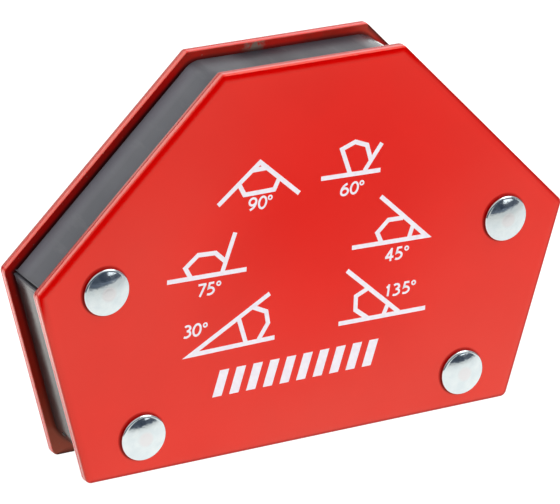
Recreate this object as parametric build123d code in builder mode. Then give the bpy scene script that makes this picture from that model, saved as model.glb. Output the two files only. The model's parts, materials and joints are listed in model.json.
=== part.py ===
from build123d import *
import os
from math import cos, radians, sin, sqrt

# Six-sided magnetic angle holder for welding. Two steel plates are riveted over a moulded core that
# holds block magnets. The plates' edges are the working faces. X runs along the width, Y through the
# thickness with the front plate at -Y, and Z up. The holder stands on its base edge at Z = 0.

# Plates: millimetres and degrees, angles measured from horizontal
WIDTH = 120.0
LOWER_SIDE = 43.5
LOWER_ANGLE = 75.0
UPPER_SIDE = 55.8
UPPER_ANGLE = 45.0
PLATE_THICKNESS = 2.4
GAP = 12.4
BASE_CORNER_RADIUS = 1.5
SIDE_CORNER_RADIUS = 1.5
TOP_CORNER_RADIUS = 1.2
ROLLED_EDGE_RADIUS = 0.4
INNER_EDGE_RADIUS = 0.2

# Rivets
SHANK_DIAMETER = 5.0
RIVET_HOLE_DIAMETER = 5.2
HEAD_DIAMETER = 9.8
TAIL_DIAMETER = 8.8
HEAD_HEIGHT = 1.5
HEAD_RIM_HEIGHT = 0.65
HEAD_RIM_RADIUS = 0.35
HEAD_UNDERCUT = 0.2
SPACER_DIAMETER = 9.0

# Moulded core
CORE_INSET = 1.8
CORE_BASE_CORNER_RADIUS = 8.0
CORE_TOP_CORNER_RADIUS = 4.5
CORE_WALL = 2.0
RIB = 1.5
SEAM = 0.3
SEAM_CORNER_RADIUS = 0.3
BOSS_DIAMETER = 14.0
FIT_CLEARANCE = 0.15

# Block magnets, length by width, as thick as the gap
TOP_MAGNET = (23.0, 14.0)
UPPER_SIDE_MAGNET = (26.0, 14.0)
UPPER_CENTRE_MAGNET = (30.0, 14.0)
LOWER_SIDE_MAGNET = (20.0, 12.0)
BASE_MAGNET = (29.0, 16.0)
LOWER_CENTRE_MAGNET = (60.0, 16.0)
UPPER_SIDE_MAGNET_SLIDE = 7.0
UPPER_CENTRE_HEIGHT = 51.8
LOWER_CENTRE_HEIGHT = 30.3
BASE_MAGNET_OFFSET = 15.5
MAGNET_CHAMFER = 0.6

# Outline worked out from the sides and angles
HALF_WIDTH = WIDTH / 2
SIDE_HEIGHT = LOWER_SIDE * sin(radians(LOWER_ANGLE))
HEIGHT = SIDE_HEIGHT + UPPER_SIDE * sin(radians(UPPER_ANGLE))
HALF_BASE = HALF_WIDTH - LOWER_SIDE * cos(radians(LOWER_ANGLE))
HALF_TOP = HALF_WIDTH - UPPER_SIDE * cos(radians(UPPER_ANGLE))
OUTLINE = [
    (-HALF_BASE, 0),
    (HALF_BASE, 0),
    (HALF_WIDTH, SIDE_HEIGHT),
    (HALF_TOP, HEIGHT),
    (-HALF_TOP, HEIGHT),
    (-HALF_WIDTH, SIDE_HEIGHT),
]

# The core's halves part where its sloping sides meet
CORE_CORNER_INSET = CORE_INSET / sin(radians((LOWER_ANGLE + UPPER_ANGLE) / 2))
SEAM_HEIGHT = SIDE_HEIGHT - CORE_CORNER_INSET * sin(radians((LOWER_ANGLE - UPPER_ANGLE) / 2))
CORE_TOP = HEIGHT - CORE_INSET

INNER_FACE = GAP / 2
OUTER_FACE = INNER_FACE + PLATE_THICKNESS
HEAD_RIM = OUTER_FACE + HEAD_RIM_HEIGHT
HEAD_APEX = OUTER_FACE + HEAD_HEIGHT
TOLERANCE = 0.01


def corners_at(sketch, height):
    """The sketch's corners at one height."""
    return [corner for corner in sketch.vertices() if abs(corner.Y - height) < TOLERANCE]


def inside_side(start, end, depth, slide=0.0):
    """The point `depth` inside the middle of a left-hand side, moved `slide` along it."""
    along = (Vector(*end) - Vector(*start)).normalized()
    inward = Vector(along.Y, -along.X)
    middle = (Vector(*start) + Vector(*end)) / 2
    point = middle + inward * depth + along * slide
    return (point.X, point.Y)


def pocket_depth(width):
    """How far inside the outline a magnet's middle lies, when it stands behind the core's wall."""
    return CORE_INSET + CORE_WALL + FIT_CLEARANCE + width / 2


def mirrored(name, centre, size, angle):
    """A left-hand magnet and its mirror image, as (name, centre, size, angle)."""
    x, z = centre
    return [(f"{name}_left", (x, z), size, angle), (f"{name}_right", (-x, z), size, -angle)]


def dome_arc(radius, side):
    """Three points of a dome's profile, from its apex on the axis to its rim. Side is -1 or 1 in Y."""
    rise = HEAD_HEIGHT - HEAD_RIM_HEIGHT
    sphere = (radius**2 + rise**2) / (2 * rise)
    drop = sphere - sqrt(sphere**2 - (radius / 2) ** 2)
    return [(0, side * HEAD_APEX), (radius / 2, side * (HEAD_APEX - drop)), (radius, side * HEAD_RIM)]


upper_side_centre = inside_side(
    OUTLINE[5], OUTLINE[4], pocket_depth(UPPER_SIDE_MAGNET[1]), UPPER_SIDE_MAGNET_SLIDE
)
lower_side_centre = inside_side(OUTLINE[0], OUTLINE[5], pocket_depth(LOWER_SIDE_MAGNET[1]))
base_centre = (-BASE_MAGNET_OFFSET, pocket_depth(BASE_MAGNET[1]))

UPPER_MAGNETS = [
    ("magnet_top", (0, HEIGHT - pocket_depth(TOP_MAGNET[1])), TOP_MAGNET, 0),
    ("magnet_centre_upper", (0, UPPER_CENTRE_HEIGHT), UPPER_CENTRE_MAGNET, 0),
    *mirrored("magnet_upper", upper_side_centre, UPPER_SIDE_MAGNET, UPPER_ANGLE),
]
LOWER_MAGNETS = [
    ("magnet_centre_lower", (0, LOWER_CENTRE_HEIGHT), LOWER_CENTRE_MAGNET, 0),
    *mirrored("magnet_lower", lower_side_centre, LOWER_SIDE_MAGNET, -LOWER_ANGLE),
    *mirrored("magnet_base", base_centre, BASE_MAGNET, 0),
]

# Rivet centres as (x, z): the holes are punched a little to the right of a symmetrical pattern
RIVETS = {
    "upper_left": (-45.25, 40.75),
    "upper_right": (46.0, 40.55),
    "lower_left": (-36.55, 8.05),
    "lower_right": (37.4, 7.85),
}

finished = []

# ---- Plates: one stamping, used twice, rolled edge outwards ----
with BuildSketch(Plane.XZ) as plate_profile:
    with BuildLine():
        Polyline(*OUTLINE, close=True)
    make_face()
    fillet(corners_at(plate_profile, 0), BASE_CORNER_RADIUS)
    fillet(corners_at(plate_profile, SIDE_HEIGHT), SIDE_CORNER_RADIUS)
    fillet(corners_at(plate_profile, HEIGHT), TOP_CORNER_RADIUS)
    with Locations(*RIVETS.values()):
        Circle(RIVET_HOLE_DIAMETER / 2, mode=Mode.SUBTRACT)

with BuildPart() as front_plate:
    with BuildSketch(Plane.XZ.offset(INNER_FACE)):
        add(plate_profile.sketch_local)
    extrude(amount=PLATE_THICKNESS)
    fillet(front_plate.faces().sort_by(Axis.Y)[0].outer_wire().edges(), ROLLED_EDGE_RADIUS)
    fillet(front_plate.faces().sort_by(Axis.Y)[-1].outer_wire().edges(), INNER_EDGE_RADIUS)
front_plate.part.label = "front_plate"
finished.append(front_plate.part)

with BuildPart() as rear_plate:
    with BuildSketch(Plane.XZ.offset(-OUTER_FACE)):
        add(plate_profile.sketch_local)
    extrude(amount=PLATE_THICKNESS)
    fillet(rear_plate.faces().sort_by(Axis.Y)[-1].outer_wire().edges(), ROLLED_EDGE_RADIUS)
    fillet(rear_plate.faces().sort_by(Axis.Y)[0].outer_wire().edges(), INNER_EDGE_RADIUS)
rear_plate.part.label = "rear_plate"
finished.append(rear_plate.part)

# ---- Core: an outer wall, a ribbed pocket for each magnet and a boss for each spacer ----
with BuildSketch(Plane.XZ) as core_outline:
    with BuildLine():
        Polyline(*OUTLINE, close=True)
    make_face()
    offset(amount=-CORE_INSET, kind=Kind.INTERSECTION, mode=Mode.REPLACE)
    fillet(corners_at(core_outline, CORE_INSET), CORE_BASE_CORNER_RADIUS)
    fillet(corners_at(core_outline, CORE_TOP), CORE_TOP_CORNER_RADIUS)

with BuildSketch(Plane.XZ) as core_cavity:
    add(core_outline.sketch_local)
    offset(amount=-CORE_WALL, kind=Kind.INTERSECTION, mode=Mode.REPLACE)

# Each half: its name, its edge at the seam, the side of that edge on which it lies, its magnets
SEAM_TOP = SEAM_HEIGHT + SEAM / 2
SEAM_BOTTOM = SEAM_HEIGHT - SEAM / 2
CORE_HALVES = [
    ("upper_core_half", SEAM_TOP, Align.MIN, UPPER_MAGNETS),
    ("lower_core_half", SEAM_BOTTOM, Align.MAX, LOWER_MAGNETS),
]

for half_name, seam_edge, away_from_seam, magnets in CORE_HALVES:
    with BuildPart() as core_half:
        with BuildSketch(Plane.XZ.offset(-INNER_FACE)) as half_profile:
            add(core_outline.sketch_local)
            add(core_cavity.sketch_local, mode=Mode.SUBTRACT)
            with Locations((0, seam_edge)):
                Rectangle(WIDTH, RIB, align=(Align.CENTER, away_from_seam))
            for _, centre, (length, width), angle in magnets:
                with Locations(centre):
                    grown = 2 * (FIT_CLEARANCE + RIB)
                    Rectangle(length + grown, width + grown, rotation=angle)
            with Locations(*RIVETS.values()):
                Circle(BOSS_DIAMETER / 2)
            add(core_outline.sketch_local, mode=Mode.INTERSECT)
            with Locations((0, seam_edge)):
                Rectangle(WIDTH, HEIGHT, align=(Align.CENTER, away_from_seam), mode=Mode.INTERSECT)
            for _, centre, (length, width), angle in magnets:
                with Locations(centre):
                    grown = 2 * FIT_CLEARANCE
                    Rectangle(length + grown, width + grown, rotation=angle, mode=Mode.SUBTRACT)
            with Locations(*RIVETS.values()):
                Circle(SPACER_DIAMETER / 2 + FIT_CLEARANCE, mode=Mode.SUBTRACT)
            outer_corners = sorted(corners_at(half_profile, seam_edge), key=lambda corner: corner.X)
            fillet([outer_corners[0], outer_corners[-1]], SEAM_CORNER_RADIUS)
        extrude(amount=GAP)
    core_half.part.label = half_name
    finished.append(core_half.part)

# ---- Block magnets: they touch both plates, which makes the plates the two poles ----
for name, (x, z), (length, width), angle in UPPER_MAGNETS + LOWER_MAGNETS:
    with BuildPart() as magnet:
        with BuildSketch(Plane.XZ.offset(-INNER_FACE)):
            with Locations((x, z)):
                Rectangle(length, width, rotation=angle)
        extrude(amount=GAP)
        chamfer(magnet.edges().filter_by(Axis.Y), MAGNET_CHAMFER)
    magnet.part.label = name
    finished.append(magnet.part)

# ---- Spacers and rivets ----
for place, (x, z) in RIVETS.items():
    with BuildPart() as spacer:
        with BuildSketch(Plane.XZ.offset(-INNER_FACE)):
            with Locations((x, z)):
                Circle(SPACER_DIAMETER / 2)
                Circle(RIVET_HOLE_DIAMETER / 2, mode=Mode.SUBTRACT)
        extrude(amount=GAP)
    spacer.part.label = f"spacer_{place}"
    finished.append(spacer.part)

    with BuildPart() as rivet:
        with BuildSketch(Plane(origin=(x, 0, z))) as rivet_profile:
            with BuildLine():
                ThreePointArc(*dome_arc(HEAD_DIAMETER / 2, -1))
                Polyline(
                    (HEAD_DIAMETER / 2, -HEAD_RIM),
                    (HEAD_DIAMETER / 2, -OUTER_FACE),
                    (SHANK_DIAMETER / 2, -OUTER_FACE),
                    (SHANK_DIAMETER / 2, OUTER_FACE),
                    (TAIL_DIAMETER / 2, OUTER_FACE),
                    (TAIL_DIAMETER / 2, HEAD_RIM),
                )
                ThreePointArc(*dome_arc(TAIL_DIAMETER / 2, 1))
                Line((0, HEAD_APEX), (0, -HEAD_APEX))
            make_face()
            rims = corners_at(rivet_profile, -HEAD_RIM) + corners_at(rivet_profile, HEAD_RIM)
            fillet([rim for rim in rims if rim.X > SHANK_DIAMETER / 2], HEAD_RIM_RADIUS)
            undersides = corners_at(rivet_profile, -OUTER_FACE) + corners_at(rivet_profile, OUTER_FACE)
            fillet([edge for edge in undersides if edge.X > SHANK_DIAMETER / 2 + TOLERANCE], HEAD_UNDERCUT)
        revolve(axis=Axis((x, 0, z), (0, 1, 0)))
    rivet.part.label = f"rivet_{place}"
    finished.append(rivet.part)

os.makedirs("parts", exist_ok=True)
for piece in finished:
    export_step(piece, f"parts/{piece.label}.step")
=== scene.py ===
import json
import math

import bmesh
import bpy
from mathutils import Matrix, Vector


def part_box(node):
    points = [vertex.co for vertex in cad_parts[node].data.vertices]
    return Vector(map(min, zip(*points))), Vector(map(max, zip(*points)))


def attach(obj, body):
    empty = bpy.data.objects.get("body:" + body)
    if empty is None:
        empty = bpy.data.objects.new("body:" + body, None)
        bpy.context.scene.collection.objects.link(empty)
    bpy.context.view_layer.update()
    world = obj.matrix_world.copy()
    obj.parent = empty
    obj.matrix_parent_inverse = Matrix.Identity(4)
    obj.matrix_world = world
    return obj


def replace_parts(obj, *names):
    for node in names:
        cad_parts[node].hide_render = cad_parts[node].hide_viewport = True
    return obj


# A six-sided welding magnet: two glossy red plates riveted over a black moulded core full of block
# magnets. Everything is in metres in the CAD frame: X along the width, the front plate at -Y, Z up.

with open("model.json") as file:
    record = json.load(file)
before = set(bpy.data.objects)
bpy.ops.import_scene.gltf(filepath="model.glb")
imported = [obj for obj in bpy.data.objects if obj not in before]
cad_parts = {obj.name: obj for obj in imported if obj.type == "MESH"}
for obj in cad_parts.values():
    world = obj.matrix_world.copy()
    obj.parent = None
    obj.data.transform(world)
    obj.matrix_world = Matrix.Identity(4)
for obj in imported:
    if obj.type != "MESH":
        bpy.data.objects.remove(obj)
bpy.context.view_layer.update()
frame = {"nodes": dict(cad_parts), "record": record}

MM = 0.001

# ---- Sizes that the frame doesn't give ----
# Radius of each of the plates' corners, in the order of SIDES
CORNER_RADII = [1.5 * MM, 1.5 * MM, 1.5 * MM, 1.2 * MM, 1.2 * MM, 1.5 * MM]
CORNER_STEPS = 10
LEAST_RADIUS = 0.02 * MM
FACE_MARGIN = 2.0 * MM
FACE_BORDER = 0.5 * MM
FACE_DROP = 0.14 * MM
FACE_STEPS = 6
SHOULDER_RADIUS = 0.36 * MM
SHOULDER_STEPS = 8
SHOULDER_TURN_DEGREES = 84
EDGE_SWELL = 0.02 * MM
EDGE_TAPER = 0.10 * MM
GROOVE_PLACE = 0.56
GROOVE_WIDTH = 0.12 * MM
GROOVE_DEPTH = 0.035 * MM
INNER_CORNER = 0.2 * MM
INNER_CORNER_STEPS = 4
CORNER_SHADE_WIDTH = 0.7 * MM
PLATE_MIDDLE = 7.4 * MM
CORE_INSET = 1.8 * MM
CORE_BASE_RADIUS = 8.0 * MM
CORE_TOP_RADIUS = 4.5 * MM
RIVET_HOLE_RADIUS = 2.6 * MM
HOLE_STEPS = 48
LATHE_STEPS = 128


# ---- Outline of the plates, from the six working faces that the record states ----
SIDE_NAMES = [
    "base_edge",
    "lower_right_edge",
    "upper_right_edge",
    "top_edge",
    "upper_left_edge",
    "lower_left_edge",
]


def side_lines():
    """Each side's outward normal and distance from the origin, in the X-Z plane, anticlockwise."""
    mounts = {mount["name"]: mount for mount in frame["record"]["mounts"]}
    lines = []
    for name in SIDE_NAMES:
        x, _, z = mounts[name]["pos_m"]
        normal = Vector((mounts[name]["axis"][0], mounts[name]["axis"][2])).normalized()
        lines.append((normal, normal.dot(Vector((x, z)))))
    return lines


SIDES = side_lines()


def meeting_point(first, second, inset):
    """Where two sides meet once both have moved inwards by inset."""
    (n1, d1), (n2, d2) = first, second
    matrix = Matrix(((n1.x, n1.y), (n2.x, n2.y)))
    return matrix.inverted() @ Vector((d1 - inset, d2 - inset))


def outline(inset, radii=CORNER_RADII, steps=CORNER_STEPS):
    """The plates' outline moved inwards by inset, as points (x, z) with rounded corners."""
    points = []
    for i, radius in enumerate(radii):
        before, after = SIDES[i - 1], SIDES[i]
        left = max(radius - inset, LEAST_RADIUS)
        centre = meeting_point(before, after, inset + left)
        start = math.atan2(before[0].y, before[0].x)
        turn = before[0].angle_signed(after[0]) * -1
        for step in range(steps + 1):
            angle = start + turn * step / steps
            points.append((centre.x + left * math.cos(angle), centre.y + left * math.sin(angle)))
    return points


# The sides that face this way get a darker rim, painted shade on the sides turned from the light, which
# fades out over the fade distance up to the inset below
SHADED_RIM_DIRECTION = Vector((0.9, -0.45))
SHADED_RIM_GAIN = 5
SHADED_RIM_INSET = 0.95 * MM
SHADED_RIM_FADE = 0.60 * MM


def shaded_rim_of_outline():
    """For each point of the outline, the share of painted shade: 1 on the sides that face right or down and
    0 on the others.
    """
    shares = []
    for i in range(len(SIDES)):
        before, after = SIDES[i - 1][0], SIDES[i][0]
        for step in range(CORNER_STEPS + 1):
            normal = before.lerp(after, step / CORNER_STEPS).normalized()
            shares.append(min(1.0, max(0.0, SHADED_RIM_GAIN * normal.dot(SHADED_RIM_DIRECTION))))
    return shares


# ---- Mesh helpers ----
def piece(name, mesh, material):
    """A new object that rides on the holder's one body, with its material."""
    made = bpy.data.objects.new(name, mesh)
    bpy.context.scene.collection.objects.link(made)
    made.data.materials.append(material)
    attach(made, "root")
    return made


def to_mesh(bm, name, sharp_angle=None):
    """Finishes a bmesh as a smooth-shaded mesh. Edges sharper than sharp_angle degrees stay crisp."""
    bmesh.ops.recalc_face_normals(bm, faces=bm.faces)
    mesh = bpy.data.meshes.new(name)
    bm.to_mesh(mesh)
    bm.free()
    mesh.polygons.foreach_set("use_smooth", [True] * len(mesh.polygons))
    if sharp_angle is not None:
        mesh.set_sharp_from_angle(angle=math.radians(sharp_angle))
    return mesh


def ring(bm, points):
    """A closed loop of vertices."""
    return [bm.verts.new(point) for point in points]


def circle(centre, radius, y, steps):
    """Points round a circle that faces along Y."""
    cx, cz = centre
    turns = [2 * math.pi * k / steps for k in range(steps)]
    return [(cx + radius * math.cos(t), y, cz + radius * math.sin(t)) for t in turns]


def bridge(bm, first, second):
    """Quads between two loops with the same number of vertices."""
    for i in range(len(first)):
        j = (i + 1) % len(first)
        bm.faces.new((first[i], first[j], second[j], second[i]))


def loop_edges(bm, loop):
    """The edges round a closed loop of vertices."""
    found = []
    for i, vertex in enumerate(loop):
        pair = (vertex, loop[(i + 1) % len(loop)])
        found.append(bm.edges.get(pair) or bm.edges.new(pair))
    return found


# ---- Plates ----
RIVET_PLACES = ["upper_left", "upper_right", "lower_left", "lower_right"]


def rivet_centre(place):
    low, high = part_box(f"rivet_{place}")
    return ((low.x + high.x) / 2, (low.z + high.z) / 2)


def plate_section(thickness):
    """The edge's section as (inset, depth below the outer face), from the face to the inner corner."""
    tilt = 2 * FACE_DROP / (FACE_MARGIN - SHOULDER_RADIUS)
    section = [(FACE_MARGIN + FACE_BORDER, 0.0)]
    for step in range(FACE_STEPS + 1):
        share = step / FACE_STEPS
        section.append((FACE_MARGIN + (SHOULDER_RADIUS - FACE_MARGIN) * share, FACE_DROP * share**2))
    for step in range(1, SHOULDER_STEPS + 1):
        angle = tilt + (math.radians(SHOULDER_TURN_DEGREES) - tilt) * step / SHOULDER_STEPS
        across = math.sin(angle) - math.sin(tilt)
        down = math.cos(tilt) - math.cos(angle)
        section.append((SHOULDER_RADIUS * (1 - across) + EDGE_SWELL, FACE_DROP + SHOULDER_RADIUS * down))
    groove = thickness * GROOVE_PLACE
    section += [
        (0.0, groove - GROOVE_WIDTH / 2),
        (GROOVE_DEPTH, groove),
        (0.0, groove + GROOVE_WIDTH / 2),
        (EDGE_TAPER * 0.4, groove + (thickness - INNER_CORNER - groove) * 0.55),
        (EDGE_TAPER, thickness - INNER_CORNER),
    ]
    for step in range(1, INNER_CORNER_STEPS + 1):
        angle = math.radians(90) * step / INNER_CORNER_STEPS
        inset = EDGE_TAPER + INNER_CORNER * (1 - math.cos(angle))
        section.append((inset, thickness - INNER_CORNER * (1 - math.sin(angle))))
    return section


# Radius of each of the core's corners, in the order of SIDES
CORE_RADII = [CORE_BASE_RADIUS, CORE_BASE_RADIUS, 0.0, CORE_TOP_RADIUS, CORE_TOP_RADIUS, 0.0]


def core_line(gap):
    """The core's outline grown by gap, with as many points as the plate's outline."""
    return outline(CORE_INSET - gap, [radius + CORE_INSET for radius in CORE_RADII])


# Rings on the inner face round the core: distance outside the core's wall, and the painted shade on the
# face there, for the crevice against the core
CORNER_SHADE_RINGS = [(CORNER_SHADE_WIDTH, 0.0), (0.05 * MM, 1.0), (-0.6 * MM, 1.0)]


def edge_rings(bm, outer, outward, thickness):
    """The plate's rings from its outer to its inner face, with what the paint needs to know at each."""
    margin_shade = bm.verts.layers.float.new("margin_shade")
    corner_shade = bm.verts.layers.float.new("corner_shade")
    shaded_rim = bm.verts.layers.float.new("shaded_rim")
    rings = []
    for inset, depth in plate_section(thickness):
        y = outer - outward * depth
        rings.append(ring(bm, [(x, y, z) for x, z in outline(inset)]))
        at_edge = min(1.0, max(0.0, (SHADED_RIM_INSET - inset) / SHADED_RIM_FADE))
        for vertex, share in zip(rings[-1], shaded_rim_of_outline()):
            vertex[margin_shade] = max(0.0, 1 - inset / FACE_MARGIN) if depth <= FACE_DROP else 0.0
            vertex[shaded_rim] = share * at_edge
    for gap, shade_amount in CORNER_SHADE_RINGS:
        rings.append(ring(bm, [(x, outer - outward * thickness, z) for x, z in core_line(gap)]))
        for vertex in rings[-1]:
            vertex[corner_shade] = shade_amount
    return rings


def fill_face(bm, edge_ring, y):
    """The flat face inside a ring, pierced for the rivets. Returns the holes' rings."""
    edges = loop_edges(bm, edge_ring)
    holes = []
    for place in RIVET_PLACES:
        holes.append(ring(bm, circle(rivet_centre(place), RIVET_HOLE_RADIUS, y, HOLE_STEPS)))
        edges += loop_edges(bm, holes[-1])
    bmesh.ops.triangle_fill(bm, use_beauty=True, edges=edges)
    return holes


def build_plate(node, outward):
    """A plate with its rolled edge outwards, and a hole for each rivet. Outward is -1 for the front."""
    low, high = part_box(node)
    outer = low.y if outward < 0 else high.y
    thickness = high.y - low.y
    bm = bmesh.new()
    rings = edge_rings(bm, outer, outward, thickness)
    for first, second in zip(rings, rings[1:]):
        bridge(bm, first, second)
    outer_holes = fill_face(bm, rings[0], outer)
    inner_holes = fill_face(bm, rings[-1], outer - outward * thickness)
    for outer_hole, inner_hole in zip(outer_holes, inner_holes):
        bridge(bm, outer_hole, inner_hole)
    return to_mesh(bm, node + "_painted", sharp_angle=50)


# ---- Rivets ----
RIM_RADIUS = 0.42 * MM
RIM_HEIGHT = 0.68 * MM
RIM_STEPS = 8
DOME_STEPS = 24
UNDERCUT = 0.15 * MM
UNDERCUT_STEPS = 4
CROWN_RADIUS = 2.0 * MM
PUNCH_RING_RADIUS = 1.15 * MM
PUNCH_RING_WIDTH = 0.16 * MM
HEAD_PUNCH_DEPTH = 0.014 * MM
TAIL_PUNCH_DEPTH = 0.03 * MM
TAIL_RADIUS = 4.4 * MM
SHANK_RADIUS = 2.5 * MM


def lathe(bm, centre, profile):
    """Turns a profile of (radius, y), which starts and ends on the axis, round the axis along Y."""
    crown = bm.verts.layers.float.new("crown")
    rings = []
    for radius, y in profile[1:-1]:
        rings.append(ring(bm, circle(centre, radius, y, LATHE_STEPS)))
        for vertex in rings[-1]:
            vertex[crown] = max(0.0, 1 - radius / CROWN_RADIUS)
    for first, second in zip(rings, rings[1:]):
        bridge(bm, first, second)
    for end, edge_ring in ((profile[0], rings[0]), (profile[-1], rings[-1])):
        tip = bm.verts.new((centre[0], end[1], centre[1]))
        tip[crown] = 1.0
        for i in range(LATHE_STEPS):
            bm.faces.new((edge_ring[i], edge_ring[(i + 1) % LATHE_STEPS], tip))


def head_profile(radius, apex, face, side, punch_depth):
    """Half a rivet head from its crown to the plate's face, as (radius, y). Side is -1 for the front."""
    dome_edge = radius - RIM_RADIUS
    rise = apex - RIM_HEIGHT
    sphere = (dome_edge**2 + rise**2) / (2 * rise)
    points = []
    for step in range(DOME_STEPS + 1):
        r = dome_edge * step / DOME_STEPS
        height = apex - (sphere - math.sqrt(sphere**2 - r**2))
        height -= punch_depth * math.exp(-(((r - PUNCH_RING_RADIUS) / PUNCH_RING_WIDTH) ** 2))
        points.append((r, face + side * height))
    for step in range(1, RIM_STEPS + 1):
        angle = math.pi / 2 * step / RIM_STEPS
        height = RIM_HEIGHT - RIM_RADIUS * (1 - math.cos(angle))
        points.append((dome_edge + RIM_RADIUS * math.sin(angle), face + side * height))
    for step in range(1, UNDERCUT_STEPS + 1):
        angle = math.pi / 2 * step / UNDERCUT_STEPS
        inwards = UNDERCUT * (1 - math.cos(angle))
        points.append((radius - inwards, face + side * UNDERCUT * (1 - math.sin(angle))))
    return points


def build_rivet(place):
    """A domed head in front, the shank, and a smaller domed tail behind."""
    low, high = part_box(f"rivet_{place}")
    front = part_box("front_plate")[0].y
    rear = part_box("rear_plate")[1].y
    head = head_profile((high.x - low.x) / 2, front - low.y, front, -1, HEAD_PUNCH_DEPTH)
    tail = head_profile(TAIL_RADIUS, high.y - rear, rear, 1, TAIL_PUNCH_DEPTH)
    profile = head + [(SHANK_RADIUS, front), (SHANK_RADIUS, rear)] + tail[::-1]
    bm = bmesh.new()
    lathe(bm, rivet_centre(place), profile)
    return to_mesh(bm, f"rivet_{place}_domed", sharp_angle=60)


# ---- Core halves: the CAD halves with their outer rims softened ----
RIM_BEVEL = 0.25 * MM
RIM_SETBACK = 0.40 * MM
WELD_DISTANCE = 1e-6
ON_FACE = 0.01 * MM
ON_SIDE = 0.02 * MM
ON_ARC = 0.04 * MM
GATE_MARK = Vector((-48.3, 6.6)) * MM
GATE_MARK_Y = 2.2 * MM
GATE_HALF_LENGTH, GATE_HALF_WIDTH = 0.8, 0.32
# The gate mark's rings, from its foot in the wall to its dished top: share of full size, lift in mm
GATE_RINGS = [(1.0, -0.10), (1.0, 0.04), (0.85, 0.12), (0.45, 0.13), (0.35, 0.07)]


def is_corner_arc(flat):
    """Whether a point (x, z) is on one of the core's four rounded outer corners."""
    for i, radius in enumerate(CORE_RADII):
        centre = meeting_point(SIDES[i - 1], SIDES[i], CORE_INSET + radius)
        if radius > 0 and abs((flat - centre).length - radius) < ON_ARC:
            return True
    return False


def is_outer_wall(point):
    """Whether a point is on the core's outer wall."""
    flat = Vector((point.x, point.z))
    for normal, distance in SIDES:
        if abs(normal.dot(flat) - distance + CORE_INSET) < ON_SIDE:
            return True
    return is_corner_arc(flat)


def add_gate_mark(bm):
    """The oval scar that the mould's gate leaves on the rounded corner at the lower left."""
    centre = meeting_point(SIDES[5], SIDES[0], CORE_INSET + CORE_BASE_RADIUS)
    outward = (GATE_MARK - centre).normalized()
    foot = centre + outward * CORE_BASE_RADIUS
    origin = Vector((foot.x, GATE_MARK_Y, foot.y))
    out = Vector((outward.x, 0, outward.y))
    along = Vector((0, 1, 0)) * GATE_HALF_LENGTH
    across = Vector((-outward.y, 0, outward.x)) * GATE_HALF_WIDTH
    turns = [2 * math.pi * k / HOLE_STEPS for k in range(HOLE_STEPS)]
    rings = []
    for share, lift in GATE_RINGS:
        points = []
        for t in turns:
            oval = (along * math.cos(t) + across * math.sin(t)) * share
            points.append(origin + (out * lift + oval) * MM)
        rings.append(ring(bm, points))
    for first, second in zip(rings, rings[1:]):
        bridge(bm, first, second)
    bm.faces.new(rings[0])
    bm.faces.new(rings[-1])


def outer_rims(bm, low, high):
    """The edges where the core's outer wall meets its flat faces."""
    rims = []
    for edge in bm.edges:
        ends = [vertex.co for vertex in edge.verts]
        flat = any(all(abs(end.y - y) < ON_FACE for end in ends) for y in (low.y, high.y))
        if flat and all(is_outer_wall(end) for end in ends):
            rims.append(edge)
    return rims


def build_core(node):
    """A CAD core half with its outer rims set back from the plates and bevelled."""
    bm = bmesh.new()
    bm.from_mesh(frame["nodes"][node].data)
    bmesh.ops.remove_doubles(bm, verts=bm.verts, dist=WELD_DISTANCE)
    bmesh.ops.dissolve_limit(bm, angle_limit=math.radians(0.5), verts=bm.verts, edges=bm.edges)
    rims = outer_rims(bm, *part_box(node))
    for vertex in {end for edge in rims for end in edge.verts}:
        vertex.co.y -= math.copysign(RIM_SETBACK, vertex.co.y)
    bmesh.ops.bevel(bm, geom=rims, offset=RIM_BEVEL, segments=3, profile=0.5, affect="EDGES")
    if node == "lower_core_half":
        add_gate_mark(bm)
    return to_mesh(bm, node + "_moulded", sharp_angle=35)


# ---- Materials ----
def material(name, **settings):
    """A new Principled material with constant settings on the shader's own sockets."""
    made = bpy.data.materials.new(name)
    made.use_nodes = True
    shader = made.node_tree.nodes["Principled BSDF"]
    for socket, value in settings.items():
        shader.inputs[socket.replace("_", " ")].default_value = value
    return made, made.node_tree, shader


def drive(shader, **values):
    """Links values to the shader's sockets, with _ for the space in a socket's name."""
    for socket, value in values.items():
        shader.id_data.links.new(value, shader.inputs[socket.replace("_", " ")])


def add_noise(tree, scale, detail=2.0, roughness=0.5, stretch=(1, 1, 1)):
    """Noise over the object's own coordinates, stretched along the axes where stretch is small."""
    coordinates = tree.nodes.new("ShaderNodeTexCoord")
    mapping = tree.nodes.new("ShaderNodeMapping")
    mapping.inputs["Scale"].default_value = stretch
    noise = tree.nodes.new("ShaderNodeTexNoise")
    noise.inputs["Scale"].default_value = scale
    noise.inputs["Detail"].default_value = detail
    noise.inputs["Roughness"].default_value = roughness
    tree.links.new(coordinates.outputs["Object"], mapping.inputs["Vector"])
    tree.links.new(mapping.outputs["Vector"], noise.inputs["Vector"])
    return noise.outputs["Fac"]


def add_range(tree, value, low, high, to_low, to_high):
    """Maps low..high onto to_low..to_high, and holds the ends beyond them."""
    node = tree.nodes.new("ShaderNodeMapRange")
    for socket, number in zip(("From Min", "From Max", "To Min", "To Max"), (low, high, to_low, to_high)):
        node.inputs[socket].default_value = number
    tree.links.new(value, node.inputs["Value"])
    return node.outputs["Result"]


def add_mix(tree, factor, first, second):
    """A colour mix. First and second are colours or sockets."""
    node = tree.nodes.new("ShaderNodeMix")
    node.data_type = "RGBA"
    tree.links.new(factor, node.inputs["Factor"])
    for socket, value in (("A", first), ("B", second)):
        target = [s for s in node.inputs if s.name == socket and s.type == "RGBA"][0]
        if isinstance(value, tuple):
            target.default_value = (*value, 1)
        else:
            tree.links.new(value, target)
    return [s for s in node.outputs if s.type == "RGBA"][0]


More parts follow.
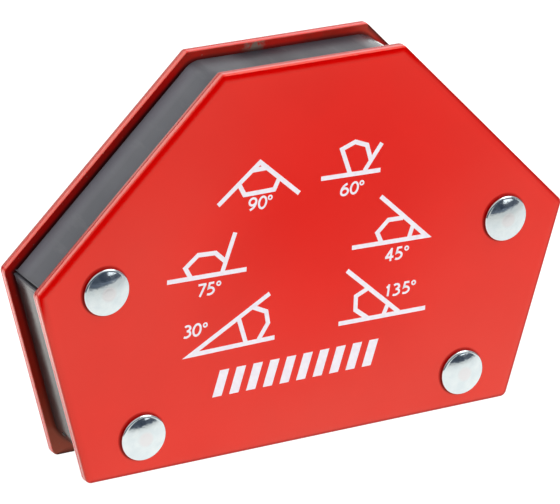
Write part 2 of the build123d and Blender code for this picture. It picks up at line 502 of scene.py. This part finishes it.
def add_bump(tree, height, distance, under=None):
    """A normal for relief of the given depth in metres, on top of the normal under it."""
    node = tree.nodes.new("ShaderNodeBump")
    node.inputs["Distance"].default_value = distance
    tree.links.new(height, node.inputs["Height"])
    if under is not None:
        tree.links.new(under, node.inputs["Normal"])
    return node.outputs["Normal"]


def add_object_axis(tree, axis):
    """The object's own X, Y or Z coordinate in metres."""
    place = tree.nodes.new("ShaderNodeSeparateXYZ")
    tree.links.new(tree.nodes.new("ShaderNodeTexCoord").outputs["Object"], place.inputs["Vector"])
    return place.outputs[axis]


def add_math(tree, operation, *values):
    """A math node over sockets and numbers."""
    node = tree.nodes.new("ShaderNodeMath")
    node.operation = operation
    for socket, value in zip(node.inputs, values):
        if isinstance(value, float):
            socket.default_value = value
        else:
            tree.links.new(value, socket)
    return node.outputs["Value"]


def add_attribute(tree, name):
    """A number that the mesh holds at each vertex."""
    node = tree.nodes.new("ShaderNodeAttribute")
    node.attribute_name = name
    return node.outputs["Fac"]


def add_distance(tree, x, z):
    """Distance in metres from a line along Y through (x, z)."""
    squares = []
    for axis, place in (("X", x), ("Z", z)):
        offset = add_math(tree, "SUBTRACT", add_object_axis(tree, axis), place)
        squares.append(add_math(tree, "MULTIPLY", offset, offset))
    return add_math(tree, "SQRT", add_math(tree, "ADD", *squares))


def add_patch(tree, x, z, inner, outer):
    """1 within the inner radius of a line along Y through (x, z), fading to 0 at the outer radius."""
    return add_range(tree, add_distance(tree, x, z), inner, outer, 1, 0)


def add_tone(tree, scale, detail, low=0.35, high=0.65):
    """Noise stretched to run from 0 to 1."""
    return add_range(tree, add_noise(tree, scale, detail), low, high, 0, 1)


def add_step(tree, axis, start, end, before=0, after=1):
    """A change from before to after between two places along one of the object's axes."""
    return add_range(tree, add_object_axis(tree, axis), start, end, before, after)


def soften_grazing(tree, level):
    """Fades the mirror reflection at grazing angles, as the fine texture of a real surface does."""
    weight = tree.nodes.new("ShaderNodeLayerWeight")
    fade = add_range(tree, weight.outputs["Facing"], 0.72, 0.97, 1.0, 0.06)
    return add_math(tree, "MULTIPLY", level, fade)


# ---- Red paint ----
BARE_PATCH = (-5.5 * MM, 80.9 * MM)
# Centre of the painted dimming of the face's reflection
DIMMED_MIDDLE = (8.0 * MM, 52.0 * MM)
# Offset of the painted shadow crescents from the rivets' centres
SHADOW_CRESCENT_SHIFT = (-0.30 * MM, 0.25 * MM)


def inner_paint(tree):
    """The faces inside the gap, darker than the outer enamel as painted shade of the deep gap: brown at the
    base, red above, browner again along the top.
    """
    patches = add_tone(tree, 130, 4, 0.4, 0.6)
    low = add_mix(tree, patches, (0.30, 0.028, 0.013), (0.42, 0.022, 0.009))
    low = add_mix(tree, add_step(tree, "Z", 6 * MM, 16 * MM), (0.40, 0.070, 0.040), low)
    high = add_mix(tree, patches, (0.46, 0.004, 0.003), (0.36, 0.007, 0.005))
    top = add_mix(tree, patches, (0.38, 0.011, 0.007), (0.26, 0.014, 0.008))
    top = add_mix(tree, add_step(tree, "X", 16 * MM, 21 * MM), top, (0.42, 0.040, 0.025))
    high = add_mix(tree, add_step(tree, "Z", 77 * MM, 79 * MM), high, top)
    return add_mix(tree, add_step(tree, "Z", 10 * MM, 42 * MM), low, high)


def inner_wear(tree):
    """1 on the bare patch at the top and on small chips, 0 where the paint is whole."""
    patch = add_patch(tree, *BARE_PATCH, 1.2 * MM, 3.2 * MM)
    bare = add_math(tree, "MULTIPLY", patch, add_tone(tree, 900, 3, 0.40, 0.55))
    chips = add_range(tree, add_noise(tree, 1300, 2), 0.70, 0.72, 0, 0.8)
    return add_math(tree, "MAXIMUM", bare, chips)


def inner_painted_shade(tree):
    """How far painted shade darkens the corner against the core, less low down, and the rim on the sides
    turned from the light.
    """
    upwards = add_step(tree, "Z", 26 * MM, 42 * MM, 0.55, 1)
    shade_amount = add_math(tree, "MULTIPLY", add_attribute(tree, "corner_shade"), upwards)
    shade_amount = add_math(tree, "MULTIPLY", shade_amount, add_step(tree, "Z", 77 * MM, 79 * MM, 0.90, 0.72))
    return add_math(tree, "MAXIMUM", shade_amount, add_math(tree, "MULTIPLY", add_attribute(tree, "shaded_rim"), 0.8))


def inner_shaded_coat(tree):
    """Colour of the plates' faces inside the gap: the darker coat and its wear, with painted shade against
    the core and on the shaded rim.
    """
    coat = add_mix(tree, inner_wear(tree), inner_paint(tree), (0.17, 0.12, 0.10))
    # Painted shade: near black in the corner against the core and on the shaded rim
    return add_mix(tree, inner_painted_shade(tree), coat, (0.016, 0.008, 0.009))


def shaded_margin(tree, upper):
    """1 along the outer face's upper margin, less on the right: where painted shade darkens and dulls the
    coat.
    """
    margin = add_math(tree, "MULTIPLY", add_attribute(tree, "margin_shade"), upper)
    return add_math(tree, "MULTIPLY", margin, add_step(tree, "X", 18 * MM, 26 * MM, 1, 0.40))


def rear_half_of_edge(tree, upper):
    """1 on the rear half of a plate's upper edges, 0 on their front half and on the flat faces: where
    painted shade darkens and dulls the edge.
    """
    along = add_object_axis(tree, "Y")
    middle = add_math(tree, "MULTIPLY", add_math(tree, "SIGN", along), PLATE_MIDDLE)
    offset = add_math(tree, "SUBTRACT", along, middle)
    rise = add_range(tree, offset, -0.15 * MM, 0.35 * MM, 0, 1)
    fall = add_range(tree, offset, 1.06 * MM, 1.15 * MM, 1, 0)
    return add_math(tree, "MULTIPLY", add_math(tree, "MULTIPLY", rise, fall), upper)


def rivet_shadow_crescents(tree):
    """1 in a crescent of painted shadow against the rivet heads, on their upper left."""
    nearest = 1.0
    for place in RIVET_PLACES:
        x, z = rivet_centre(place)
        distance = add_distance(tree, x + SHADOW_CRESCENT_SHIFT[0], z + SHADOW_CRESCENT_SHIFT[1])
        nearest = add_math(tree, "MINIMUM", nearest, distance)
    return add_range(tree, nearest, 4.95 * MM, 5.35 * MM, 1, 0)


def middle_dimmed_gloss(tree):
    """The coat's reflection: weakest in the middle, a painted dimming of the reflection there, and slightly
    cloudy.
    """
    rubbed = add_range(tree, add_distance(tree, *DIMMED_MIDDLE), 10.0 * MM, 50.0 * MM, 0.30, 0.52)
    rubbed.node.interpolation_type = "SMOOTHSTEP"
    clouds = add_range(tree, add_noise(tree, 28, 3), 0.3, 0.7, 0.85, 1.12)
    return soften_grazing(tree, add_math(tree, "MULTIPLY", rubbed, clouds))


def powder_coat():
    """Glossy red enamel with painted shade: darker at the upper margins, the rear half of the upper edges,
    the rims turned from the light and round the rivets, and darker and duller inside the gap.
    """
    made, tree, shader = material("red_enamel", IOR=1.5, Specular_Tint=(1.0, 0.97, 0.72, 1.0))
    # The painted shade on the margins and edges below falls only on the upper part of the plates
    upper = add_step(tree, "Z", 34 * MM, 44 * MM, 0.1, 1)
    margin = shaded_margin(tree, upper)
    rear = rear_half_of_edge(tree, upper)
    shaded_rim = add_attribute(tree, "shaded_rim")
    shadow_crescent = rivet_shadow_crescents(tree)
    depth = add_math(tree, "ABSOLUTE", add_object_axis(tree, "Y"))
    # The faces inside the gap take the darker, duller coat, which is painted shade of the deep gap
    outside = add_range(tree, depth, 6.25 * MM, 6.40 * MM, 0, 1)

    enamel = add_mix(tree, add_tone(tree, 45, 3), (0.80, 0.0020, 0.0013), (0.76, 0.0016, 0.0010))
    # Painted shade: a darker band along the upper margin of the outer face
    enamel = add_mix(tree, margin, enamel, (0.53, 0.0006, 0.0004))
    # Painted shade: the rear half of the upper edges is darker
    enamel = add_mix(tree, rear, enamel, (0.45, 0.0040, 0.0030))
    # Painted shade: the rims on the sides turned from the light are darker
    enamel = add_mix(tree, shaded_rim, enamel, (0.47, 0.0014, 0.0009))
    # Painted shadow: dark crescents beside the rivet heads
    enamel = add_mix(tree, shadow_crescent, enamel, (0.40, 0.0006, 0.0004))
    drive(shader, Base_Color=add_mix(tree, outside, inner_shaded_coat(tree), enamel))

    # The margin, rear, shaded rim and crescent losses dull the reflection as part of the painted shade
    # How much of the reflection is left: share, its range, and the levels at that range's ends
    losses = [(margin, 0.20, 0.46, 1.0, 0.04), (rear, 0.0, 1.0, 1.0, 0.50), (shaded_rim, 0.0, 1.0, 1.0, 0.35),
              (shadow_crescent, 0.0, 1.0, 1.0, 0.25), (outside, 0.0, 1.0, 0.24, 1.0)]
    gloss = middle_dimmed_gloss(tree)
    for share, *levels in losses:
        gloss = add_math(tree, "MULTIPLY", gloss, add_range(tree, share, *levels))
    drive(shader, Specular_IOR_Level=gloss)

    haze = add_noise(tree, 55, 4, 0.55)
    drive(shader, Roughness=add_range(tree, haze, 0.35, 0.65, 0.09, 0.15))
    peel = add_bump(tree, add_noise(tree, 260, 1), 0.006 * MM)
    ripple = add_bump(tree, add_noise(tree, 60, 2), 0.03 * MM, under=peel)
    drive(shader, Normal=add_bump(tree, add_noise(tree, 24, 1), 0.6 * MM, under=ripple))
    return made


# ---- Core plastic: dark grey above the seam, with painted shade making it black below ----
SEAM_LOW, SEAM_HIGH = 39.0 * MM, 43.0 * MM
CORE_TOP_FACE = 79.7 * MM
# Places of the painted shadow and the painted reflection on the core's top
TOP_SHADOW_X, TOP_REFLECTION_X = -5.0 * MM, -15.5 * MM
# Centre of the painted highlight on the core's top right corner
HIGHLIGHT_CORNER = (21.0 * MM, 78.5 * MM)


def upper_plastic(tree, tone):
    """Dark grey, paler towards the rear plate as painted light against the shade there, darker on top as
    painted shade, with a painted shadow and a painted reflection patch on top, and fine streaks.
    """
    # Painted light: paler towards the rear plate, against the shade there
    rear = add_step(tree, "Y", 0.5 * MM, 6.0 * MM)
    pale = add_mix(tree, tone, (0.070, 0.074, 0.086), (0.084, 0.088, 0.102))
    pale = add_mix(tree, rear, pale, (0.176, 0.180, 0.208))
    # Painted shade on the top face, with a painted shadow patch and a painted reflection patch
    painted_shadow_patch = add_patch(tree, TOP_SHADOW_X, CORE_TOP_FACE, 2.5 * MM, 6.5 * MM)
    painted_reflection_patch = add_patch(tree, TOP_REFLECTION_X, CORE_TOP_FACE, 3.0 * MM, 6.0 * MM)
    top = add_mix(tree, painted_shadow_patch, (0.049, 0.050, 0.061), (0.033, 0.031, 0.040))
    top = add_mix(tree, painted_reflection_patch, top, (0.092, 0.094, 0.107))
    pale = add_mix(tree, add_step(tree, "Z", 78.6 * MM, 79.5 * MM), pale, top)
    streaks = add_range(tree, add_noise(tree, 260, 5, 0.6, stretch=(1, 0.2, 1)), 0.55, 0.75, 0, 0.6)
    return add_mix(tree, streaks, pale, (0.150, 0.155, 0.170))


def core_plastic():
    """Moulded plastic, dark grey and matt above the seam, and below it black and glossier, where the black
    is painted shade on the downward half.
    """
    made, tree, shader = material("black_core_plastic", IOR=1.5)
    tone = add_tone(tree, 60, 4)
    # Painted shade: the lower half, which faces down, is near black
    lower = add_mix(tree, tone, (0.017, 0.013, 0.014), (0.025, 0.020, 0.021))
    above = add_step(tree, "Z", SEAM_LOW, SEAM_HIGH)
    drive(shader, Base_Color=add_mix(tree, above, lower, upper_plastic(tree, tone)))

    # Painted highlight: glossier and smoother at the top right corner, so that it shows a bright reflection
    corner_highlight = add_range(tree, add_distance(tree, *HIGHLIGHT_CORNER), 2.0 * MM, 6.0 * MM, 0.9, 0.0)
    level = add_step(tree, "Z", SEAM_LOW, SEAM_HIGH, 0.21, 0.16)
    drive(shader, Specular_IOR_Level=add_math(tree, "ADD", level, corner_highlight))

    scuffs = add_range(tree, add_noise(tree, 220, 5, 0.6, stretch=(1, 0.15, 1)), 0.35, 0.7, 0.0, 0.08)
    rough = add_math(tree, "ADD", scuffs, add_step(tree, "Z", SEAM_LOW, SEAM_HIGH, 0.20, 0.36))
    rough = add_math(tree, "SUBTRACT", rough, add_math(tree, "MULTIPLY", corner_highlight, 0.18))
    drive(shader, Roughness=rough)
    drive(shader, Normal=add_bump(tree, add_noise(tree, 1500, 3), 0.006 * MM))
    return made


# ---- Metals, magnets and ink ----
def rivet_zinc():
    """Bright zinc with a fine grain, slightly pink where the punch has rubbed each crown."""
    made, tree, shader = material("bright_zinc", Metallic=1.0)
    plating = add_mix(tree, add_tone(tree, 500, 3), (0.55, 0.60, 0.62), (0.50, 0.56, 0.59))
    rubbed = add_range(tree, add_attribute(tree, "crown"), 0.08, 0.40, 0, 1)
    drive(shader, Base_Color=add_mix(tree, rubbed, plating, (0.54, 0.545, 0.565)))
    drive(shader, Roughness=add_range(tree, add_noise(tree, 1800, 4), 0.3, 0.7, 0.08, 0.14))
    grain = add_bump(tree, add_noise(tree, 1700, 2), 0.016 * MM)
    drive(shader, Normal=add_bump(tree, add_noise(tree, 900, 3), 0.004 * MM, under=grain))
    return made


def ferrite():
    """Charcoal ground ferrite, speckled and matt."""
    made, tree, shader = material("ground_ferrite", Metallic=0.0)
    grey = add_mix(tree, add_tone(tree, 900, 6, 0.3, 0.7), (0.045, 0.045, 0.048), (0.085, 0.083, 0.085))
    drive(shader, Base_Color=grey)
    drive(shader, Roughness=add_range(tree, add_noise(tree, 1500, 3), 0.3, 0.7, 0.45, 0.7))
    drive(shader, Normal=add_bump(tree, add_noise(tree, 2500, 3), 0.02 * MM))
    return made


def turned_steel():
    """Steel with fine turning marks round the Y axis."""
    made, tree, shader = material("turned_steel", Metallic=1.0)
    marks = add_noise(tree, 900, 3, stretch=(0.05, 1, 0.05))
    grey = add_mix(tree, marks, (0.50, 0.50, 0.51), (0.62, 0.62, 0.62))
    drive(shader, Base_Color=grey)
    drive(shader, Roughness=add_range(tree, marks, 0.3, 0.7, 0.22, 0.40))
    drive(shader, Normal=add_bump(tree, marks, 0.01 * MM))
    return made


def white_ink():
    """Slightly uneven white screen ink."""
    made, tree, shader = material("white_screen_ink", IOR=1.45)
    white = add_mix(tree, add_tone(tree, 900, 4, 0.3, 0.7), (0.92, 0.88, 0.93), (0.86, 0.79, 0.86))
    drive(shader, Base_Color=white)
    drive(shader, Roughness=add_range(tree, add_noise(tree, 1500, 3), 0.3, 0.7, 0.35, 0.5))
    drive(shader, Normal=add_bump(tree, add_noise(tree, 2400, 2), 0.003 * MM))
    return made


RED = powder_coat()
PLASTIC = core_plastic()
ZINC = rivet_zinc()
FERRITE = ferrite()
STEEL = turned_steel()
INK = white_ink()

for plate, outward in (("front_plate", -1), ("rear_plate", 1)):
    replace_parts(piece(plate + "_painted", build_plate(plate, outward), RED), plate)
for half in ("upper_core_half", "lower_core_half"):
    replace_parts(piece(half + "_moulded", build_core(half), PLASTIC), half)
for place in RIVET_PLACES:
    domed = piece(f"rivet_{place}_domed", build_rivet(place), ZINC)
    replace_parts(domed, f"rivet_{place}")
for name, node in frame["nodes"].items():
    if name.startswith("magnet_") or name.startswith("spacer_"):
        node.data.materials.clear()
        node.data.materials.append(FERRITE if name.startswith("magnet_") else STEEL)

# ---- Printed marks: each icon is the holder's outline against the bars that it sets at an angle ----
FRONT_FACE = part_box("front_plate")[0].y
INK_THICKNESS = 0.03 * MM
INK_STEP = 0.003 * MM
STROKE = 0.95

# Icon name: strokes as lists of (x, z) in millimetres, a closed one repeating its first point
ICONS = {
    "90": [
        [(-20.8, 54.3), (-11.6, 61.9), (-2.5, 53.9)],
        [(-13.4, 60.45), (-9.7, 60.5)],
        [(-16.3, 58.1), (-14.95, 55.6), (-8.25, 55.65), (-7.1, 58.1)],
    ],
    "60": [
        [(2.4, 56.1), (16.1, 55.75)],
        [(12.4, 56.2), (16.2, 61.5)],
        [(9.0, 56.2), (7.0, 61.6), (10.0, 62.7), (12.75, 61.6), (13.75, 58.3)],
    ],
    "75": [
        [(-31.8, 40.0), (-14.0, 39.7)],
        [(-19.5, 40.0), (-16.8, 48.0)],
        [(-26.6, 40.1), (-27.8, 42.3), (-25.0, 44.6), (-21.1, 44.4), (-18.9, 42.3)],
    ],
    "45": [
        [(10.2, 40.0), (27.75, 39.6), (16.5, 50.0)],
        [(17.0, 40.1), (16.0, 42.25), (18.5, 44.6), (22.0, 44.5)],
        [(24.4, 42.6), (23.6, 40.0)],
    ],
    "30": [
        [(-7.1, 23.75), (-26.2, 23.45), (-8.5, 33.5)],
        [(-13.7, 23.9), (-15.4, 29.2)],
        [(-12.2, 31.2), (-9.2, 29.75), (-8.7, 27.2), (-10.8, 23.9)],
    ],
    "135": [
        [(7.75, 23.9), (28.25, 23.7)],
        [(21.9, 24.0), (9.3, 35.2)],
        [(14.2, 30.4), (11.6, 29.25), (11.6, 26.25), (14.5, 24.0)],
        [(19.2, 26.1), (18.3, 24.0)],
    ],
}

# Label: each digit with its left and right side, then base and top, then the degree ring's centre, in mm
LABELS = {
    "90": ([("9", -13.95, -12.15), ("0", -11.75, -9.85)], 51.9, 54.75, (-9.1, 54.1)),
    "60": ([("6", 7.05, 8.9), ("0", 9.25, 11.15)], 51.5, 54.3, (11.9, 53.7)),
    "75": ([("7", -24.9, -23.15), ("5", -22.8, -21.1)], 35.6, 38.4, (-20.2, 37.8)),
    "45": ([("4", 18.2, 20.1), ("5", 20.5, 22.2)], 35.5, 38.35, (23.15, 37.7)),
    "30": ([("3", -27.8, -26.15), ("0", -25.8, -23.9)], 27.25, 30.1, (-23.0, 29.4)),
    "135": ([("1", 18.6, 19.5), ("3", 20.3, 22.0), ("5", 22.6, 24.3)], 27.65, 30.4, (25.2, 29.8)),
}

# Sizes of the print's digits and degree rings, and how the whole design sits on the plate, in millimetres
RING_RADIUS = 0.40
RING_STROKE = 0.32
DIGIT_STROKE = 0.46
DIGIT_SLANT = 0.11
DIGIT_SPREAD = 0.09
PRINT_STRETCH = 0.9945
PRINT_SHIFT = (-0.26, 0.26)


def arc(centre_x, centre_z, radius_x, radius_z, start, end):
    """Points of an elliptical arc in a digit's unit box, from start to end in degrees."""
    steps = max(6, round(abs(end - start) / 12))
    angles = [math.radians(start + (end - start) * step / steps) for step in range(steps + 1)]
    return [(centre_x + radius_x * math.cos(a), centre_z + radius_z * math.sin(a)) for a in angles]


def turned(strokes):
    """The strokes of a digit rotated by half a turn in its unit box."""
    return [[(1 - x, 1 - z) for x, z in stroke] for stroke in strokes]


SIX = [arc(0.5, 0.30, 0.5, 0.30, 0, 360), arc(0.98, 0.33, 0.98, 0.67, 182, 100)]

# Digit: the centre lines of its strokes in a box from (0, 0) to (1, 1)
DIGITS = {
    "0": [arc(0.5, 0.5, 0.5, 0.5, 0, 360)],
    "1": [[(0.80, 0.0), (0.80, 1.12)], [(0.0, 0.80), (0.80, 1.0)]],
    "3": [arc(0.40, 0.77, 0.50, 0.23, 140, -90), arc(0.36, 0.27, 0.64, 0.27, 90, -125)],
    "4": [[(0.72, -0.08), (0.72, 1.08)], [(0.72, 1.0), (0.0, 0.28)], [(-0.10, 0.28), (1.1, 0.28)]],
    "5": [[(0.92, 1.0), (0.22, 1.0), (0.12, 0.57)] + arc(0.36, 0.30, 0.64, 0.30, 105, -125)],
    "6": SIX,
    "7": [[(-0.08, 1.0), (1.12, 1.0)], [(1.0, 1.0), (0.32, -0.08)]],
    "9": turned(SIX),
}


def add_band(bm, left, right, height):
    """A raised flat band between two rows of points (x, z), with side walls down into the plate."""
    rows = []
    for y in (FRONT_FACE - height, FRONT_FACE + INK_THICKNESS):
        for row in (left, right):
            rows.append([bm.verts.new((x, y, z)) for x, z in row])
    top_left, top_right, foot_left, foot_right = rows
    for i in range(len(left) - 1):
        bm.faces.new((top_left[i], top_left[i + 1], top_right[i + 1], top_right[i]))
        bm.faces.new((foot_left[i], foot_left[i + 1], foot_right[i + 1], foot_right[i]))
        bm.faces.new((top_left[i], top_left[i + 1], foot_left[i + 1], foot_left[i]))
        bm.faces.new((top_right[i], top_right[i + 1], foot_right[i + 1], foot_right[i]))
    for i in (0, -1):
        bm.faces.new((top_left[i], top_right[i], foot_right[i], foot_left[i]))


def on_print(x, z):
    """A point of the printed design, in millimetres, placed on the plate in metres."""
    return Vector((x * PRINT_STRETCH + PRINT_SHIFT[0], z + PRINT_SHIFT[1])) * MM


def add_stroke(bm, points, width, height):
    """One printed line of constant width, in millimetres, mitred at its corners."""
    path = [on_print(*point) for point in points]
    closed = (path[0] - path[-1]).length < 1e-9
    left, right = [], []
    for i, here in enumerate(path):
        before = path[i - 1] if i > 0 else (path[-2] if closed else None)
        after = path[i + 1] if i < len(path) - 1 else (path[1] if closed else None)
        legs = [leg for leg in ((before, here), (here, after)) if None not in leg]
        sideways = [Vector((start.y - end.y, end.x - start.x)).normalized() for start, end in legs]
        mitre = sum(sideways, Vector((0, 0))).normalized()
        reach = width * MM / 2 / mitre.dot(sideways[0])
        left.append(tuple(here + mitre * reach))
        right.append(tuple(here - mitre * reach))
    add_band(bm, left, right, height)


def add_digit(bm, digit, left, right, base, top, height):
    """One digit that fills its box, in millimetres, leaning to the right."""
    inset = DIGIT_STROKE / 2
    left, right = left - DIGIT_SPREAD, right + DIGIT_SPREAD
    wide, tall = right - left - 2 * inset, top - base - 2 * inset
    for order, stroke in enumerate(DIGITS[digit]):
        points = []
        for x, z in stroke:
            lean = (z - 0.5) * tall * DIGIT_SLANT
            points.append((left + inset + x * wide + lean, base + inset + z * tall))
        add_stroke(bm, points, DIGIT_STROKE, height + order * INK_STEP)


def build_icon(mark):
    bm = bmesh.new()
    for order, points in enumerate(ICONS[mark]):
        add_stroke(bm, points, STROKE, INK_THICKNESS + order * INK_STEP)
    return to_mesh(bm, f"print_icon_{mark}", sharp_angle=30)


def build_label(mark):
    digits, base, top, (ring_x, ring_z) = LABELS[mark]
    bm = bmesh.new()
    for digit, left, right in digits:
        add_digit(bm, digit, left, right, base, top, INK_THICKNESS)
    add_stroke(bm, arc(ring_x, ring_z, RING_RADIUS, RING_RADIUS, 0, 360), RING_STROKE, INK_THICKNESS)
    return to_mesh(bm, f"print_label_{mark}", sharp_angle=30)


for mark in ICONS:
    piece(f"print_icon_{mark}", build_icon(mark), INK)
    piece(f"print_label_{mark}", build_label(mark), INK)

# ---- A plain row of slanted bars under the icons, in millimetres ----
BAR_COUNT = 10
BAR_LEFT, BAR_RIGHT = -21.0, 17.5
BAR_BASE, BAR_TOP = 13.3, 18.9
BAR_SLANT = 1.6
BAR_FILL = 0.55


def build_bars():
    bm = bmesh.new()
    pitch = (BAR_RIGHT - BAR_LEFT) / BAR_COUNT
    for k in range(BAR_COUNT):
        start = BAR_LEFT + k * pitch
        end = start + pitch * BAR_FILL
        low_row = [tuple(on_print(x, BAR_BASE)) for x in (start, end)]
        high_row = [tuple(on_print(x + BAR_SLANT, BAR_TOP)) for x in (start, end)]
        add_band(bm, low_row, high_row, INK_THICKNESS)
    return to_mesh(bm, "print_bars", sharp_angle=30)


piece("print_bars", build_bars(), INK)

# ---- Studio: a glowing white table in a white tent, open and dark on the front side ----
CAMERA_AZIMUTH, CAMERA_ELEVATION, CAMERA_ROLL = -30.1435, 22.4554, 1.8934
CAMERA_DISTANCE = 0.78506
CAMERA_TARGET = Vector((-0.006594, -0.00845, 0.04222))
CAMERA_LENS = 255.4
FLOOR_HALF = 3.0
FLOOR_DEPTH = 0.06 * MM
SHEEN_DEPTH = 0.02 * MM
GLOW_DEPTH = 0.04 * MM
TABLE_EDGE = 0.24


def stage_quad(name, corners, colour, roughness):
    """A plain card of the studio."""
    mesh = bpy.data.meshes.new(name)
    mesh.from_pydata(corners, [], [(0, 1, 2, 3)])
    card = bpy.data.objects.new(name, mesh)
    bpy.context.scene.collection.objects.link(card)
    made, tree, shader = material(name, Roughness=roughness, Specular_IOR_Level=0.2)
    shader.inputs["Base Color"].default_value = (*colour, 1)
    card.data.materials.append(made)
    return card, tree, shader


def table_corners(depth):
    """The corners of the table's top, at a depth below the holder's base."""
    return [(x * FLOOR_HALF, y * FLOOR_HALF, -depth) for x, y in ((-1, -1), (1, -1), (1, 1), (-1, 1))]


def build_floor():
    """A pale table that glows evenly, so that it takes almost no shadow."""
    floor, _, shader = stage_quad("floor", table_corners(FLOOR_DEPTH), (0.15, 0.15, 0.15), 0.6)
    shader.inputs["Emission Color"].default_value = (1, 1, 1, 1)
    shader.inputs["Emission Strength"].default_value = 0.92
    floor.visible_diffuse = False
    floor.visible_glossy = False


def build_table_light(name, depth, front, middle, behind, colour):
    """Light that comes up from the table: of three strengths in front of, under and behind the holder."""
    card, tree, shader = stage_quad(name, table_corners(depth), (0.0, 0.0, 0.0), 0.9)
    place = add_object_axis(tree, "Y")
    near = add_range(tree, place, -0.17, -0.02, front, middle)
    far = add_range(tree, place, -0.02, 0.10, 0.0, behind - middle)
    far.node.interpolation_type = "SMOOTHSTEP"
    shader.inputs["Emission Color"].default_value = (*colour, 1)
    drive(shader, Emission_Strength=add_math(tree, "ADD", near, far))
    card.visible_camera = False
    card.visible_shadow = False
    return card


def build_dark_room():
    """The dark room in front of the table, which shows only as a reflection."""
    facing = math.radians(CAMERA_AZIMUTH)
    towards = Vector((math.sin(facing), -math.cos(facing), 0))
    across = Vector((-towards.y, towards.x, 0)) * FLOOR_HALF
    lift = Vector((0, 0, 1.0 * MM))
    near, far = towards * TABLE_EDGE + lift, towards * FLOOR_HALF + lift
    corners = [near - across, far - across, far + across, near + across]
    card, tree, shader = stage_quad("dark_room", corners, (0.0, 0.0, 0.0), 0.9)
    clutter = add_range(tree, add_noise(tree, 7, 3, 0.6), 0.42, 0.62, 0, 1)
    shade = add_mix(tree, clutter, (0.05, 0.07, 0.11), (0.19, 0.22, 0.27))
    drive(shader, Base_Color=shade)
    card.visible_camera = False
    card.visible_diffuse = False
    card.visible_shadow = False
    card.visible_transmission = False


def add_light(name, place, aim, size, radiance, diffuse=True, glossy=True):
    """A rectangular soft light of one radiance, aimed at a point."""
    data = bpy.data.lights.new(name, "AREA")
    data.shape = "RECTANGLE"
    data.size, data.size_y = size
    data.energy = radiance * math.pi * size[0] * size[1]
    lamp = bpy.data.objects.new(name, data)
    bpy.context.scene.collection.objects.link(lamp)
    lamp.location = place
    lamp.rotation_mode = "QUATERNION"
    lamp.rotation_quaternion = (Vector(aim) - Vector(place)).to_track_quat("-Z", "Y")
    lamp.visible_camera = False
    lamp.visible_diffuse = diffuse
    lamp.visible_glossy = glossy


def world_light():
    """Soft light from the tent, brighter with height. Its front is open to a dark room, except overhead."""
    world = bpy.data.worlds.new("studio")
    bpy.context.scene.world = world
    world.use_nodes = True
    tree = world.node_tree
    towards = tree.nodes.new("ShaderNodeTexCoord").outputs["Generated"]
    direction = tree.nodes.new("ShaderNodeSeparateXYZ")
    tree.links.new(towards, direction.inputs["Vector"])
    overhead = add_math(tree, "MULTIPLY", direction.outputs["Z"], 1.5)
    tent = add_range(tree, add_math(tree, "ADD", direction.outputs["Y"], overhead), -0.35, -0.02, 0, 1)
    tent.node.interpolation_type = "SMOOTHSTEP"
    rise = add_range(tree, direction.outputs["Z"], 0.15, 0.75, 0, 1)
    wall = add_mix(tree, rise, (0.5, 0.5, 0.5), (0.9, 0.9, 0.9))
    clutter = tree.nodes.new("ShaderNodeTexNoise")
    clutter.inputs["Scale"].default_value = 4.5
    clutter.inputs["Detail"].default_value = 3.0
    tree.links.new(towards, clutter.inputs["Vector"])
    shade = add_range(tree, clutter.outputs["Fac"], 0.40, 0.62, 0, 1)
    room = add_mix(tree, shade, (0.04, 0.055, 0.09), (0.15, 0.17, 0.21))
    colour = add_mix(tree, tent, room, wall)
    tree.links.new(colour, tree.nodes["Background"].inputs["Color"])


def build_camera():
    """The camera, at the upper left in front of the holder, with a slight roll."""
    azimuth, elevation, roll = (math.radians(v) for v in (CAMERA_AZIMUTH, CAMERA_ELEVATION, CAMERA_ROLL))
    level = Vector((math.sin(azimuth), -math.cos(azimuth), 0))
    back = level * math.cos(elevation) + Vector((0, 0, math.sin(elevation)))
    right = Vector((0, 0, 1)).cross(back).normalized()
    up = back.cross(right)
    rolled_right = right * math.cos(roll) + up * math.sin(roll)
    rolled_up = up * math.cos(roll) - right * math.sin(roll)
    turn = Matrix((rolled_right, rolled_up, back)).transposed().to_4x4()
    data = bpy.data.cameras.new("camera")
    data.sensor_width = 36
    data.lens = CAMERA_LENS
    data.clip_end = 20
    camera = bpy.data.objects.new("camera", data)
    bpy.context.scene.collection.objects.link(camera)
    camera.matrix_world = Matrix.Translation(CAMERA_TARGET + back * CAMERA_DISTANCE) @ turn
    bpy.context.scene.camera = camera


build_floor()
sheen = build_table_light("table_sheen", SHEEN_DEPTH, 0.95, 1.5, 3.0, (1.0, 0.985, 0.95))
sheen.visible_diffuse = False
glow = build_table_light("table_glow", GLOW_DEPTH, 0.5, 0.6, 1.1, (1.0, 1.0, 1.0))
glow.visible_glossy = False
build_dark_room()
world_light()

# Each light: place, aim, size and radiance. The sheens and the lamp show only as reflections.
add_light("key_light", (-0.24, 0.30, 0.40), (-0.02, 0.02, 0.02), (0.28, 0.24), 1.5, glossy=False)
add_light("key_sheen", (-0.22, 0.38, 0.34), (-0.02, 0.0, 0.04), (0.40, 0.40), 2.6, diffuse=False)
add_light("top_sheen", (0.26, -0.17, 0.53), (0.0, 0.0, 0.08), (0.34, 0.44), 3.3, diffuse=False)
add_light("back_sheen", (0.50, 1.00, 0.52), (0.0, 0.0, 0.05), (1.20, 0.70), 1.2, diffuse=False)
add_light("front_lamp", (0.80, -1.20, 0.76), (0.0, 0.0, 0.04), (0.56, 1.10), 1.7, diffuse=False)
add_light("front_fill", (0.80, -1.26, 0.60), (0.0, 0.0, 0.04), (0.40, 0.90), 12.9, glossy=False)

bpy.context.scene.view_settings.view_transform = "Standard"
build_camera()
